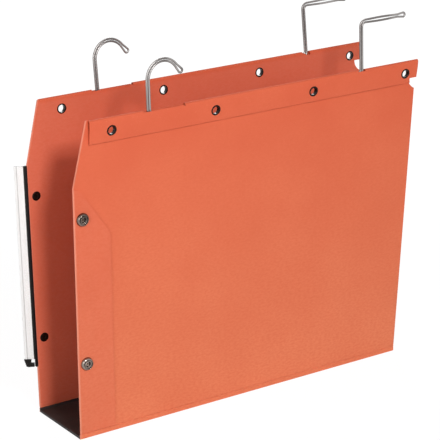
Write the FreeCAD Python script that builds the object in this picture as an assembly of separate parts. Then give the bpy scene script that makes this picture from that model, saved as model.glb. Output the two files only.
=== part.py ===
import FreeCAD, Part
import math
import os

from FreeCAD import Vector

# A suspension folder for a filing cupboard: two card panels on a black base, open at the left
# end, each with a hem folded outwards round a wire hanger that ends in two hooks.
# While it is built, X runs along the folder from its open end, Y goes from the front panel's
# outer face to the back, and Z is up from the underside. Sizes are millimetres and degrees.

# Panels
length = 365.0             # bottom edge of a panel
base_width = 75.0          # outer face of one panel to outer face of the other, at the base
panel_height = 299.0       # underside to the top of the hem
card = 0.5                 # thickness of the card
top_flare = 20.5           # how much further the far edge reaches at the hem than at the crease
slant_start = 240.0        # height where the open end's edge starts to slant inwards
slant_inset = 15.0         # how far the slant has come in at the top
rear_lean = 2.0            # outward lean of the rear panel; the front panel stands upright

# Creases and base
crease_height = 4.8        # axis on which a panel turns
crease_gap = 0.05          # between a panel's round lower edge and its glued foot
floor_thickness = 2.4
lip_height = 4.2
lip_thickness = 1.1

# Folded side flap
flap_width = 37.0
flap_shoulder = 193.0      # height where the flap reaches its full width
flap_top = 238.5
flap_start = 6.0           # how far the flap's top runs level before it slopes down
flap_round = 9.0
flap_lift = 0.6            # lowest edge of the flap above the crease axis

# Hem
hem_height = 22.0
hem_gap = 2.8              # free width inside the fold
hem_upright = 7.5          # the fold comes down upright this far, then slopes in to the panel
hem_foot_gap = 0.3         # gap left at its lower edge
hem_start = 17.5           # left end of the folded hem
notch_radius = 12.0        # quarter-round notch below the hem's far end
notch_drop = 17.5          # its upper edge below the top of the hem
notch_inset = 8.3          # how far it reaches in from the far edge
slot_depth = 1.5           # cut in the crown of the fold where the hooks come out
slot_length = 44.0
slot_margin = 6.5          # slot left of the round hook's stem
slot_tick = 1.2            # width of the small nick at the slot's far end
slot_tick_depth = 2.6
gate_left = 5.5            # notch for the square hook: left and right of its stem
gate_right = 3.5
gate_depth = 3.4
gate_floor = 4.0

# Wire hangers
wire = 2.0                 # wire diameter
strand_pitch = 2.3         # centre to centre of the doubled wire
crown_clearance = 1.66     # upper strand to the inside of the fold; it keeps the wire below the slot
round_stem = 79.5          # place of the round hook's stem along X
round_radius = 16.5        # its bend, to the middle of the pair
round_rise = 42.5          # top of its middle line above the hem
round_sweep = 40.0         # angle where its bend ends, measured from level
square_stem = 317.5
square_rise = 45.8
square_bend = 5.0
square_reach = 43.5        # stem to the pinch in front of the eye
arm_bulge = 0.6            # how far each strand bows out along the arm
arm_bulge_place = 24.0     # from the stem
arm_bulge_radius = 200.0
foot_bend = 4.0            # bend from stem to the run inside the hem
eye_length = 10.0
eye_half = 2.3
eye_bend = 2.0
pinch_radius = 12.0
pinch_lead = 1.2           # straight between the round hook's bend and its eye
front_hanger_tilt = -2.0   # outward tilt of each hanger from its panel's plane
rear_hanger_tilt = 4.5

# Eyelets
eyelet_first = 40.0
eyelet_last = 5.0          # the last one's centre beyond the far end of the base
eyelet_count = 4
eyelet_drop = 12.0         # centre below the top of the hem
eyelet_bore = 3.5          # radii
eyelet_barrel = 3.8
eyelet_flange = 4.9
eyelet_rim = 4.7
eyelet_edge = 0.4          # thickness of flange and rim
eyelet_stock = 0.5         # left inside the bore until it is cut
eyelet_clearance = 0.1

# Press studs, which join one folder to the next
stud_inset = 9.0
stud_heights = {"upper": 210.0, "lower": 73.0}
post_radius = 1.4
post_bore = 0.9
post_roll = 2.0
post_roll_height = 0.3
post_head = 4.8
post_dome = 0.8            # rise of the domed head: at its middle, its shoulder and its edge
post_shoulder = 2.9
post_shoulder_rise = 0.68
post_edge_rise = 0.28
post_clearance = 0.1
plate_thickness = 0.5      # pressed metal under the post's rolled end
socket_radius = 6.2
socket_height = 3.0
socket_side_height = 2.25  # where the tapered side meets the sloping shoulder
socket_taper = 0.6
socket_face = 4.6          # radius of the flat ring round the bore
socket_bore = 2.7
socket_groove = 3.4
socket_groove_low = 1.3
socket_groove_high = 2.1
socket_throat = 0.9        # height where the bore starts
spring_wire = 0.6
spring_opening = 40.0
stud_base = 5.6
stud_base_edge = 0.35
stud_base_bevel = 0.5
stud_base_rise = 0.7
stud_neck = 0.8            # height where the knob's straight side starts
stud_radius = 2.6
stud_height = 3.5
stud_tip = 0.3             # bevel round the knob's end
stud_shell = 0.4

# Label holder on the rear panel's open edge
label_top = 240.0
label_bottom = 53.5
label_angle = 35.0         # the label's slant away from the panel
rail_bottom = 46.0
rail_wall = 0.7
rail_web = 1.3
rail_edge_gap = 0.2
rail_inner_leg = 1.2
rail_outer_leg = 3.0
wing_width = 9.6
wing_thickness = 0.6
strip_thickness = 0.25
strip_gap = 0.15
window_wall = 0.4
window_start = 1.4
window_edge = 0.2
window_lip = 1.8
strip_side_gap = 0.25
strip_foot_gap = 0.3
foot_arm_height = 4.0
foot_arm_thickness = 2.4
foot_block_start = 3.6
foot_block_end = 10.8
foot_block_thickness = 3.6
foot_block_chamfer = 1.6
foot_overlap = 1.0         # how far the arm runs into the block

# ---------------------------------------------------------------- worked out from the sizes above
crease_y = card / 2
fold_radius = hem_gap / 2
crown_radius = fold_radius + card
crown_z = panel_height - crown_radius
hem_y = -fold_radius
run_z = crown_z + fold_radius - crown_clearance - wire / 2 - strand_pitch / 2
hem_low = panel_height - hem_height
knee_z = panel_height - hem_upright
hem_slope = math.atan2(hem_gap - hem_foot_gap, knee_z - hem_low)
hem_foot_y = -hem_foot_gap - card / math.cos(hem_slope)
eyelet_z = panel_height - eyelet_drop
eyelet_seat_y = hem_foot_y - (eyelet_z - hem_low) * math.tan(hem_slope)
eyelet_pitch = (length + eyelet_last - eyelet_first) / (eyelet_count - 1)
eyelet_xs = [eyelet_first + index * eyelet_pitch for index in range(eyelet_count)]
rear_crease_y = base_width - crease_y
beyond = 20.0              # cutters reach this far past what they cut


def far_edge(z):
    """X of a panel's far edge at height z."""
    return length + top_flare * (z - crease_height) / (panel_height - crease_height)


def plate(outline, y_low, y_high):
    """A plate across Y whose outline is given as (x, z)."""
    points = [Vector(x, y_low, z) for x, z in outline]
    face = Part.Face(Part.makePolygon(points + points[:1]))
    return face.extrude(Vector(0, y_high - y_low, 0))


def column(outline, z_low, z_high):
    """An upright prism whose plan is given as (x, y)."""
    points = [Vector(x, y, z_low) for x, y in outline]
    face = Part.Face(Part.makePolygon(points + points[:1]))
    return face.extrude(Vector(0, 0, z_high - z_low))


def rod_across(radius, x, z):
    """A round cutter along Y, right through a panel and its hem."""
    return Part.makeCylinder(radius, 2 * beyond, Vector(x, -beyond, z), Vector(0, 1, 0))


def round_corner(shape, x, z, radius):
    """Round the edge that runs along Y at (x, z)."""
    for edge in shape.Edges:
        ends = [vertex.Point for vertex in edge.Vertexes]
        if all(abs(p.x - x) < 0.01 and abs(p.z - z) < 0.01 for p in ends):
            return shape.makeFillet(radius, [edge])
    return shape


def turned(profile, x, seat_y, z):
    """Turn a profile of (radius, height) round an axis along Y; height points out of the panel."""
    points = [Vector(radius, 0, height) for radius, height in profile]
    face = Part.Face(Part.makePolygon(points + points[:1]))
    solid = face.revolve(Vector(0, 0, 0), Vector(0, 0, 1), 360)
    solid.rotate(Vector(0, 0, 0), Vector(1, 0, 0), 90)
    solid.translate(Vector(x, seat_y, z))
    return solid


def lean_back(shape):
    """Lean a shape of the rear panel outwards on its crease."""
    leaned = shape.copy()
    leaned.rotate(Vector(0, rear_crease_y, crease_height), Vector(1, 0, 0), -rear_lean)
    return leaned


def to_rear(shape):
    """The rear panel's copy of a front panel's piece: mirrored, then leaned outwards."""
    return lean_back(shape.mirror(Vector(0, base_width / 2, 0), Vector(0, 1, 0)))


# ---------------------------------------------------------------- base and card
def base_tray():
    """Black floor with a low lip under each panel."""
    inner_low = card + lip_thickness
    inner_high = base_width - inner_low
    section = [(card, 0), (base_width - card, 0), (base_width - card, lip_height),
               (inner_high, lip_height), (inner_high, floor_thickness),
               (inner_low, floor_thickness), (inner_low, lip_height), (card, lip_height)]
    points = [Vector(0, y, z) for y, z in section]
    return Part.Face(Part.makePolygon(points + points[:1])).extrude(Vector(length, 0, 0))


def panel_foot():
    """The strip of a panel below its crease, glued to the base's lip."""
    top = crease_height - card / 2 - crease_gap
    return Part.makeBox(length, card, top)


def folded_hem():
    """The card over the wire and down the outside, as one strip that follows the far edge."""
    tip_in = Vector(0, 0, crown_z)
    tip_out = Vector(0, card, crown_z)
    flap_in = Vector(0, -hem_gap, crown_z)
    flap_out = Vector(0, -hem_gap - card, crown_z)
    knee_in = Vector(0, -hem_gap, knee_z)
    knee_out = Vector(0, -hem_gap - card, knee_z - card * math.tan(hem_slope / 2))
    foot_in = Vector(0, -hem_foot_gap, hem_low)
    foot_out = Vector(0, hem_foot_y, hem_low)
    inner = Part.Arc(tip_in, Vector(0, hem_y, crown_z + fold_radius), flap_in)
    outer = Part.Arc(tip_out, Vector(0, hem_y, panel_height), flap_out)
    corners = [flap_in, knee_in, foot_in, foot_out, knee_out, flap_out]
    edges = [inner.toShape(), outer.toShape(), Part.makeLine(tip_out, tip_in)]
    edges += [Part.makeLine(start, end) for start, end in zip(corners, corners[1:])]
    strip = Part.Face(Part.Wire(Part.__sortEdges__(edges))).extrude(Vector(length + beyond * 2, 0, 0))
    top = panel_height + card
    bounds = plate([(hem_start, hem_low), (far_edge(hem_low), hem_low), (far_edge(top), top),
                    (hem_start, top)], -beyond, beyond)
    return strip.common(bounds)


def side_flap():
    """The panel's open edge folded back on its outer face."""
    low = crease_height + flap_lift
    flap = plate([(0, low), (flap_width, low), (flap_width, flap_shoulder),
                  (flap_start, flap_top - card), (0, flap_top)], -card, 0)
    flap = round_corner(flap, flap_width, flap_shoulder, flap_round)
    return round_corner(flap, flap_start, flap_top - card, flap_round)


def hem_cutters():
    """What is cut from the hem: the far notch, the round hook's slot and the square hook's gate."""
    top = panel_height + card
    corner_x = far_edge(panel_height - notch_drop) - notch_inset + notch_radius
    corner_z = panel_height - notch_drop
    notch = rod_across(notch_radius, corner_x, corner_z)
    notch = notch.common(Part.makeBox(beyond * 2, beyond * 2, beyond,
                                      Vector(corner_x - beyond, -beyond, corner_z - beyond)))
    slot_left = round_stem - slot_margin
    slot_right = slot_left + slot_length
    shallow = panel_height - slot_depth
    slot = plate([(slot_left, shallow), (slot_right, shallow), (slot_right, top), (slot_left, top)],
                 -beyond, beyond)
    tick_low = panel_height - slot_tick_depth
    tick = plate([(slot_right - slot_tick, tick_low), (slot_right, tick_low), (slot_right, top),
                  (slot_right - slot_tick, top)], -beyond, beyond)
    gate_low = square_stem - gate_left
    gate_high = square_stem + gate_right
    gate = plate([(gate_low, shallow), (gate_high, shallow), (gate_high, top), (gate_low, top)],
                 -beyond, beyond)
    deep = plate([(gate_low, panel_height), (gate_high - gate_floor, panel_height - gate_depth),
                  (gate_high, panel_height - gate_depth), (gate_high, top), (gate_low, top)],
                 hem_y, beyond)
    return [notch, slot, tick, gate, deep]


def panel():
    """One card panel with its hem and side flap, cut out for hooks, eyelets and studs."""
    far_low = far_edge(crease_height)
    ply = plate([(0, crease_height), (far_low, crease_height), (far_edge(crown_z), crown_z),
                 (hem_start, crown_z), (hem_start, panel_height), (slant_inset, panel_height),
                 (0, slant_start)], 0, card)
    edge = Part.makeCylinder(card / 2, far_low, Vector(0, crease_y, crease_height), Vector(1, 0, 0))
    sheet = ply.multiFuse([edge, folded_hem(), side_flap()])
    holes = [rod_across(eyelet_barrel + eyelet_clearance, x, eyelet_z) for x in eyelet_xs]
    for z in stud_heights.values():
        holes.append(rod_across(post_radius + post_clearance, stud_inset, z))
    return sheet.cut(hem_cutters() + holes).removeSplitter()


# ---------------------------------------------------------------- hardware on a panel
def eyelet(x):
    """Eyelet through hem and panel: a rolled rim inside, a flange flat on the sloping hem outside."""
    bevel = eyelet_edge / 2
    inner = eyelet_bore - eyelet_stock
    barrel = turned([(inner, -eyelet_edge), (eyelet_rim - bevel, -eyelet_edge), (eyelet_rim, -bevel),
                     (eyelet_rim, 0), (eyelet_barrel, 0), (eyelet_barrel, beyond), (inner, beyond)],
                    x, card, eyelet_z)
    flange = turned([(inner, 0), (eyelet_flange, 0), (eyelet_flange, bevel),
                     (eyelet_flange - bevel, eyelet_edge), (inner, eyelet_edge)], 0, 0, 0)
    outside = Part.makeBox(beyond * 2, beyond * 2, beyond * 2,
                           Vector(-beyond, -beyond * 2 - bevel, -beyond))
    for piece in (flange, outside):
        piece.rotate(Vector(0, 0, 0), Vector(1, 0, 0), math.degrees(hem_slope))
        piece.translate(Vector(x, eyelet_seat_y, eyelet_z))
    ring = barrel.cut(outside).fuse(flange).cut(rod_across(eyelet_bore, x, eyelet_z))
    return ring.removeSplitter()


def post(z):
    """Rivet that holds a press stud: domed head inside, its tube rolled over outside."""
    inner = -2 * card
    rolled = plate_thickness + post_roll_height
    profile = [(0, inner - post_dome), (post_shoulder, inner - post_shoulder_rise),
               (post_head, inner - post_edge_rise), (post_head, inner), (post_radius, inner),
               (post_radius, plate_thickness), (post_roll, plate_thickness), (post_roll, rolled),
               (post_bore, rolled), (post_bore, inner), (0, inner)]
    return turned(profile, stud_inset, -card, z)


def socket(z):
    """Socket half of a press stud, with a groove for its spring ring."""
    hole = post_radius + 2 * post_clearance
    throat = socket_bore + 2 * post_clearance
    profile = [(hole, 0), (socket_radius, 0), (socket_radius, plate_thickness),
               (socket_radius - socket_taper, socket_side_height), (socket_face, socket_height),
               (socket_bore, socket_height), (socket_bore, socket_groove_high),
               (socket_groove, socket_groove_high), (socket_groove, socket_groove_low),
               (socket_bore, socket_groove_low), (socket_bore, socket_throat),
               (throat, socket_throat), (throat, plate_thickness), (hole, plate_thickness)]
    return turned(profile, stud_inset, -card, z)


def spring_ring(z):
    """Split wire ring in the socket's groove."""
    middle = (socket_bore + socket_groove) / 2
    height = (socket_groove_low + socket_groove_high) / 2
    seat = Vector(stud_inset, -card - height, z)
    start = Vector(stud_inset + middle, -card - height, z)
    section = Part.Face(Part.Wire(Part.makeCircle(spring_wire / 2, start, Vector(0, 0, 1))))
    return section.revolve(seat, Vector(0, 1, 0), 360 - spring_opening)


def stud(z):
    """Stud half of a press stud: a hollow knob on a round base."""
    hole = post_radius + 2 * post_clearance
    inner = stud_radius - stud_shell
    profile = [(hole, 0), (stud_base, 0), (stud_base, stud_base_edge),
               (stud_base - stud_base_bevel, stud_base_rise), (stud_radius, stud_neck),
               (stud_radius, stud_height - stud_tip), (inner, stud_height),
               (0, stud_height), (0, stud_height - stud_shell), (inner, stud_height - stud_shell),
               (inner, plate_thickness), (hole, plate_thickness)]
    return turned(profile, stud_inset, -card, z)


# ---------------------------------------------------------------- wire hanger
def unit(start, end):
    gap = math.hypot(end[0] - start[0], end[1] - start[1])
    return ((end[0] - start[0]) / gap, (end[1] - start[1]) / gap)


def shifted(route, shift):
    """A route of (x, z, bend radius) moved sideways, to the right of its direction."""
    moved = []
    for index, (x, z, radius) in enumerate(route):
        before = unit(route[max(index - 1, 0)], route[max(index, 1)])
        after = unit(route[min(index, len(route) - 2)], route[min(index + 1, len(route) - 1)])
        side = (before[1] + after[1], -before[0] - after[0])
        scale = shift / (1 + before[0] * after[0] + before[1] * after[1])
        turn = before[0] * after[1] - before[1] * after[0]
        moved.append((x + side[0] * scale, z + side[1] * scale,
                      radius + shift if turn > 0 else radius - shift))
    return moved


def eye(pinch, heading):
    """The two outer corners of the eye that closes a doubled wire, right one first."""
    along = eye_length - wire / 2
    right = (heading[1], -heading[0])
    corners = []
    for side in (1, -1):
        corners.append((pinch[0] + heading[0] * along + right[0] * eye_half * side,
                        pinch[1] + heading[1] * along + right[1] * eye_half * side, eye_bend))
    return corners


def rounded_loop(corners):
    """A closed wire of straight runs and tangent arcs through corners of (x, z, bend radius)."""
    arcs = []
    for index, corner in enumerate(corners):
        before = unit(corners[index - 1], corner)
        after = unit(corner, corners[(index + 1) % len(corners)])
        turn = math.atan2(before[0] * after[1] - before[1] * after[0],
                          before[0] * after[0] + before[1] * after[1])
        reach = corner[2] * math.tan(abs(turn) / 2)
        enter = (corner[0] - before[0] * reach, corner[1] - before[1] * reach)
        leave = (corner[0] + after[0] * reach, corner[1] + after[1] * reach)
        inward = (after[0] - before[0], after[1] - before[1])
        scale = corner[2] * (1 / math.cos(turn / 2) - 1) / math.hypot(*inward)
        middle = (corner[0] + inward[0] * scale, corner[1] + inward[1] * scale)
        arcs.append([Vector(x, hem_y, z) for x, z in (enter, middle, leave)])
    edges = []
    for index, (enter, middle, leave) in enumerate(arcs):
        edges.append(Part.Arc(enter, middle, leave).toShape())
        following = arcs[(index + 1) % len(arcs)][0]
        if leave.distanceToPoint(following) > 0.001:
            edges.append(Part.makeLine(leave, following))
    return edges


def hanger(tilt):
    """One closed loop of wire, doubled along its whole length, tilted in the hem."""
    round_top = panel_height + round_rise
    round_x = round_stem + round_radius
    sweep = math.radians(round_sweep)
    heading = (math.sin(sweep), -math.cos(sweep))
    round_pinch = (round_x + round_radius * math.cos(sweep) + pinch_lead * heading[0],
                   round_top - round_radius * (1 - math.sin(sweep)) + pinch_lead * heading[1])
    arm_z = panel_height + square_rise
    square_pinch = (square_stem + square_reach, arm_z)
    route = [round_pinch + (pinch_radius,),
             (round_x + round_radius * math.tan((math.pi / 2 - sweep) / 2), round_top, round_radius),
             (round_stem, round_top, round_radius),
             (round_stem, run_z, foot_bend),
             (square_stem, run_z, foot_bend),
             (square_stem, arm_z, square_bend),
             square_pinch + (pinch_radius,)]
    half = strand_pitch / 2
    right = shifted(route, half)
    left = shifted(route, -half)
    bulge_x = square_stem + arm_bulge_place
    right.insert(-1, (bulge_x, arm_z - half - arm_bulge, arm_bulge_radius))
    left.insert(-1, (bulge_x, arm_z + half + arm_bulge, arm_bulge_radius))
    round_eye = eye(round_pinch, heading)
    square_eye = eye(square_pinch, (1, 0))
    edges = rounded_loop(right + square_eye + left[::-1] + round_eye)
    loop = sweep_loop(edges)
    loop.rotate(Vector(0, hem_y, run_z), Vector(1, 0, 0), tilt)
    return loop


def sweep_loop(edges):
    """Sweep the wire's round section along a closed run of edges, as two halves joined."""
    middle = len(edges) // 2
    halves = []
    for part in (edges[:middle], edges[middle:]):
        start = part[0].valueAt(part[0].FirstParameter)
        direction = part[0].tangentAt(part[0].FirstParameter)
        section = Part.Face(Part.Wire(Part.makeCircle(wire / 2, start, direction)))
        halves.append(Part.Wire(part).makePipe(section))
    return halves[0].fuse(halves[1]).removeSplitter()


# ---------------------------------------------------------------- label holder
def slanted(outline, z_low, z_high):
    """An upright prism in the label's own plan: along the wing, and out of its face."""
    angle = math.radians(label_angle)
    origin = (-rail_edge_gap - rail_web, base_width)
    points = []
    for along, out in outline:
        points.append((origin[0] - math.cos(angle) * along - math.sin(angle) * out,
                       origin[1] + math.sin(angle) * along - math.cos(angle) * out))
    return column(points, z_low, z_high)


def box_outline(along_low, along_high, out_low, out_high):
    return [(along_low, out_low), (along_high, out_low), (along_high, out_high), (along_low, out_high)]


def label_rail():
    """Black channel gripping the panel's folded edge, with the wing that backs the label."""
    inner = base_width - card
    outer = base_width + card
    back = -rail_edge_gap - rail_web
    channel = column([(rail_inner_leg, inner - rail_wall), (back, inner - rail_wall),
                      (back, outer + rail_wall), (rail_outer_leg, outer + rail_wall),
                      (rail_outer_leg, outer), (-rail_edge_gap, outer), (-rail_edge_gap, inner),
                      (rail_inner_leg, inner)], rail_bottom, label_top)
    half = wing_thickness / 2
    wing = slanted(box_outline(-rail_web / 2, wing_width, -half, half), label_bottom, label_top)
    return lean_back(channel.fuse(wing).removeSplitter())


def label_window():
    """Clear cover over the label, hooked round the wing's outer edge."""
    face = wing_thickness / 2
    cover_in = face + strip_thickness + 2 * strip_gap
    cover_out = cover_in + window_wall
    edge_in = wing_width + window_edge
    edge_out = edge_in + window_wall
    back_in = -face - window_edge / 2
    back_out = back_in - window_wall
    outline = [(window_start, face), (window_start + window_wall, face),
               (window_start + window_wall, cover_in), (edge_in, cover_in), (edge_in, back_in),
               (edge_in - window_lip, back_in), (edge_in - window_lip, back_out),
               (edge_out, back_out), (edge_out, cover_out), (window_start, cover_out)]
    return lean_back(slanted(outline, label_bottom, label_top))


def label_strip():
    """Paper label that slides in from the top."""
    low = wing_thickness / 2 + strip_gap
    start = window_start + window_wall + strip_side_gap
    end = wing_width + window_edge - strip_side_gap
    outline = box_outline(start, end, low, low + strip_thickness)
    return lean_back(slanted(outline, label_bottom + strip_foot_gap, label_top))


def label_foot():
    """Black end piece: an arm from the rail to a grip block that closes the window's lower end."""
    half_arm = foot_arm_thickness / 2
    half_block = foot_block_thickness / 2
    arm = slanted(box_outline(0, foot_block_start + foot_overlap, -half_arm, half_arm),
                  rail_bottom, rail_bottom + foot_arm_height)
    behind = Part.makeBox(beyond, beyond * 2, beyond * 2,
                          Vector(-rail_edge_gap - rail_web, base_width - beyond, rail_bottom - beyond))
    chamfer = foot_block_chamfer
    block = slanted([(foot_block_start, -half_block), (foot_block_end - chamfer, -half_block),
                     (foot_block_end, -half_block + chamfer), (foot_block_end, half_block - chamfer),
                     (foot_block_end - chamfer, half_block), (foot_block_start, half_block)],
                    rail_bottom, label_bottom)
    return lean_back(arm.cut(behind).fuse(block).removeSplitter())


# ---------------------------------------------------------------- the whole folder
def all_nodes():
    nodes = {"base_tray": base_tray()}
    foot = panel_foot()
    sheet = panel()
    nodes["front_panel_foot"] = foot
    nodes["rear_panel_foot"] = foot.mirror(Vector(0, base_width / 2, 0), Vector(0, 1, 0))
    nodes["front_panel"] = sheet
    nodes["rear_panel"] = to_rear(sheet)
    nodes["front_hanger"] = hanger(front_hanger_tilt)
    nodes["rear_hanger"] = to_rear(hanger(rear_hanger_tilt))
    for index, x in enumerate(eyelet_xs, start=1):
        nodes[f"front_eyelet_{index}"] = eyelet(x)
        nodes[f"rear_eyelet_{index}"] = to_rear(eyelet(x))
    for place, z in stud_heights.items():
        nodes[f"front_post_{place}"] = post(z)
        nodes[f"front_socket_{place}"] = socket(z)
        nodes[f"front_spring_{place}"] = spring_ring(z)
        nodes[f"rear_post_{place}"] = to_rear(post(z))
        nodes[f"rear_stud_{place}"] = to_rear(stud(z))
    nodes["label_rail"] = label_rail()
    nodes["label_window"] = label_window()
    nodes["label_strip"] = label_strip()
    nodes["label_foot"] = label_foot()
    return nodes


def centring(nodes):
    """Move that puts the origin under the middle of the folder, at the level it stands on."""
    box = Part.makeCompound(list(nodes.values())).optimalBoundingBox(False, False)
    return Vector(-box.Center.x, -box.Center.y, -box.ZMin)


def main():
    os.makedirs("parts", exist_ok=True)
    nodes = all_nodes()
    move = centring(nodes)
    for name, shape in nodes.items():
        shape.translate(move)
        shape.exportStep(f"parts/{name}.step")
        solids = len(shape.Solids)
        state = "valid" if shape.isValid() else "NOT VALID"
        print(f"{name}: {solids} solid(s), {state}, {shape.Volume:.1f} mm3")


main()
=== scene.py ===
import math

import bmesh
import bpy
from mathutils import Matrix, Vector, noise
from mathutils.geometry import delaunay_2d_cdt


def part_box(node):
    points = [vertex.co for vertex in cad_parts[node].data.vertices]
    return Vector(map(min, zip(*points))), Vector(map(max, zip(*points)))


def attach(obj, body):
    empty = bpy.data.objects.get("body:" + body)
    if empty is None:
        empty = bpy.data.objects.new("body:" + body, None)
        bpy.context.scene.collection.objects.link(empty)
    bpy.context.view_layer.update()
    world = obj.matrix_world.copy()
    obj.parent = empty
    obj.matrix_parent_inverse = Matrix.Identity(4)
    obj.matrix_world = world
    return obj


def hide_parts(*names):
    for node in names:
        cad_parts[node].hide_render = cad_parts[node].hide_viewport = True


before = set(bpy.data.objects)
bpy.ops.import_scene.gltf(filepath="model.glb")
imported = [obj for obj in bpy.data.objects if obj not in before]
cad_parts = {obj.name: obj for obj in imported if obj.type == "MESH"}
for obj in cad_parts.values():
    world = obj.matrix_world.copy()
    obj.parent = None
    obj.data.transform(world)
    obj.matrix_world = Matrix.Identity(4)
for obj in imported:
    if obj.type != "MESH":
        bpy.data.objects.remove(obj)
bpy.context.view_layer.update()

# Sizes are millimetres in the folder's own frame: X from the open end, Y back from the front
# panel's outer face, Z up. The matrices below take them to metres in the model's frame.
length = 365.0
base_width = 75.0
panel_height = 299.0
card = 0.5
top_flare = 20.5
slant_start = 240.0
slant_inset = 15.0
rear_lean = 2.0
crease_height = 4.8
floor_thickness = 2.4
lip_height = 4.2
lip_thickness = 1.1

# The card sheet, a little thinner than its solid so that folded plies don't share a face
ply = 0.46
ply_middle = 0.27
sheet_foot = 4.56
side_fold = 0.5            # X of the side fold's centre
slant_end = 0.3            # X where the slanted edge meets the side fold
cut_width = 0.2            # slit between the hem's end and the single card beside it
flap_width = 37.0
flap_shoulder = 193.0
flap_top = 238.5
flap_start = 6.0
flap_round = 9.0
flap_foot = 5.4
flap_spring = 0.9          # how far the flap's free edge springs off the panel
flap_spring_start = 15.0
flap_tone = 0.4            # how much the flap shows the sheet's back: 1 all of it, 0 its face
painted_bounce_low = 20.0         # Z up to which the card's face is palest: painted light, as if lit from below by the floor
painted_bounce_high = 300.0        # Z from which that painted paleness is gone
wear_highlight_start = 0.6            # how far in from its open edge the paler line, rubbed card and painted highlight, is strongest
wear_highlight_end = 1.5              # how far in that paler line ends
wear_highlight_ragged = 0.8
wear_highlight_share = 0.55
hem_height = 22.0
hem_gap = 2.8
hem_upright = 7.5
hem_foot_gap = 1.2         # wider than the solid's, so that the hem's edge throws its shadow
hem_bend = 50.0            # radius of the curve from upright to slope
hem_start = 17.5
notch_radius = 12.0
notch_drop = 17.5
notch_inset = 8.3
slot_depth = 1.5
slot_length = 44.0
slot_margin = 6.5
slot_tick = 0.7
slot_tick_depth = 2.2
gate_left = 5.5
gate_right = 3.5
gate_depth = 3.4
gate_floor = 4.0
gate_overlap = 0.1         # the gate's slanted part reaches into the slot above it

# How far the card bows, over what lengths, and where the bow fades in beside its calm edges
wave_height = 0.5
wave_length = 95.0
wave_rise = 120.0
side_fade = (14.0, 70.0)
foot_fade = (10.0, 60.0)
hem_fade = (4.0, 60.0)
wave_step = 7.3            # how far apart the two panels are in the noise

# How finely the sheet is drawn: spacing of its inner points and steps round its bends
grid = 9.0
grid_stagger = 0.37        # shift of every other row, as a share of the spacing
grid_start = 6.1
overshoot = 1.0            # fold lines run on past the sheet's edge
merge_gap = 0.0001
crown_steps = 14
bend_steps = 6
side_fold_steps = 8
notch_steps = 12
notch_hem_steps = 6
hole_steps = 32

# Wire hangers: each one closed loop of wire, with a round hook, a run in the hem and a square hook
wire = 2.0
strand_pitch = 2.3
crown_clearance = 1.66
round_stem = 79.5
round_radius = 16.5
round_rise = 42.5
round_sweep = 40.0
square_stem = 317.5
square_rise = 45.8
square_bend = 5.0
square_reach = 43.5
arm_bulge = 0.6
arm_bulge_place = 24.0
arm_bulge_radius = 200.0
foot_bend = 4.0
eye_length = 10.0
eye_half = 2.3
eye_bend = 2.0
pinch_radius = 12.0
pinch_lead = 1.2
front_hanger_tilt = -2.0
rear_hanger_tilt = 4.5
wire_sides = 20
wire_fineness = 6.0        # degrees of a bend from one ring of points to the next
shortest_step = 0.01

# Eyelets
eyelet_xs = (40.0, 150.0, 260.0, 370.0)
eyelet_z = 287.0
eyelet_hole = 3.9
eyelet_bore = 3.5
eyelet_barrel = 3.8
eyelet_flange = 4.9
eyelet_rim = 4.7
eyelet_edge = 0.4
flange_sink = 0.1          # how deep the flange presses into the hem

# Press studs. Profiles are closed lines of radius, height out of the panel and softness of the
# corner: a rivet with a dimpled dome, a cup with a ring-shaped hollow, a knob on a dished base
stud_inset = 9.0
stud_heights = {"upper": 210.0, "lower": 73.0}
stud_hole = 1.5
post_profile = (
    (0, -1.5, 0.0), (0.9, -1.5, 0.4), (1.5, -1.8, 0.5), (2.9, -1.7, 1.2), (4.4, -1.25, 0.3),
    (4.4, -1.0, 0.1), (1.4, -1.0, 0.0), (1.4, 0.5, 0.0), (2.0, 0.5, 0.1), (2.0, 0.8, 0.28),
    (0.9, 0.8, 0.28), (0.9, -1.0, 0.0), (0, -1.0, 0.0))
socket_profile = (
    (1.6, 0, 0.0), (6.2, 0, 0.1), (6.2, 0.5, 0.25), (5.65, 2.2, 0.7), (4.8, 3.0, 0.6),
    (4.5, 2.9, 0.2), (4.3, 1.6, 0.2), (3.6, 1.6, 0.2), (3.4, 3.0, 0.3), (2.7, 2.95, 0.3),
    (2.7, 2.1, 0.1), (3.4, 2.1, 0.1), (3.4, 1.3, 0.1), (2.7, 1.3, 0.1), (2.7, 0.9, 0.1),
    (2.9, 0.9, 0.0), (2.9, 0.5, 0.1), (1.6, 0.5, 0.1))
stud_profile = (
    (1.6, 0, 0.0), (5.6, 0, 0.1), (5.6, 0.35, 0.2), (5.1, 0.7, 0.3), (2.6, 0.8, 0.25),
    (2.6, 3.2, 0.25), (2.2, 3.5, 0.2), (0, 3.5, 0.0), (0, 3.1, 0.0), (2.2, 3.1, 0.1),
    (2.2, 0.5, 0.1), (1.6, 0.5, 0.1))
turned_steps = 56
corner_limit = 0.48        # a soft corner takes at most this share of the edges beside it

# Label holder: a rail on the rear panel's open edge with a slanted wing, the paper strip and its
# window on the wing, and a foot with a ribbed block under them
label_top = 240.0
label_bottom = 53.5
label_angle = 35.0
rail_bottom = 46.0
rail_wall = 0.7
rail_web = 1.3
rail_edge_gap = 0.2
rail_inner_leg = 0.7
rail_outer_leg = 3.0
wing_width = 9.6
wing_thickness = 0.6
strip_thickness = 0.25
strip_gap = 0.15
window_wall = 0.4
window_start = 0.6
window_edge = 0.2
window_lip = 1.8
strip_side_gap = 0.12
strip_foot_gap = 0.3
margin_line = 7.2          # the label's printed line, from the wing's root
margin_core = 0.3          # how far to each side the line is full
margin_rim = 0.6           # how far to each side it is gone
margin_ink = 0.6
foot_arm_start = 0.9
foot_arm_height = 4.0
foot_arm_thickness = 2.4
foot_block_start = 3.6
foot_block_end = 10.8
foot_block_thickness = 3.6
foot_block_chamfer = 1.6
foot_block_taper = 2.2     # how much narrower its lower end is
foot_taper_share = 0.4     # part of that on the side of the rail
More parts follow.
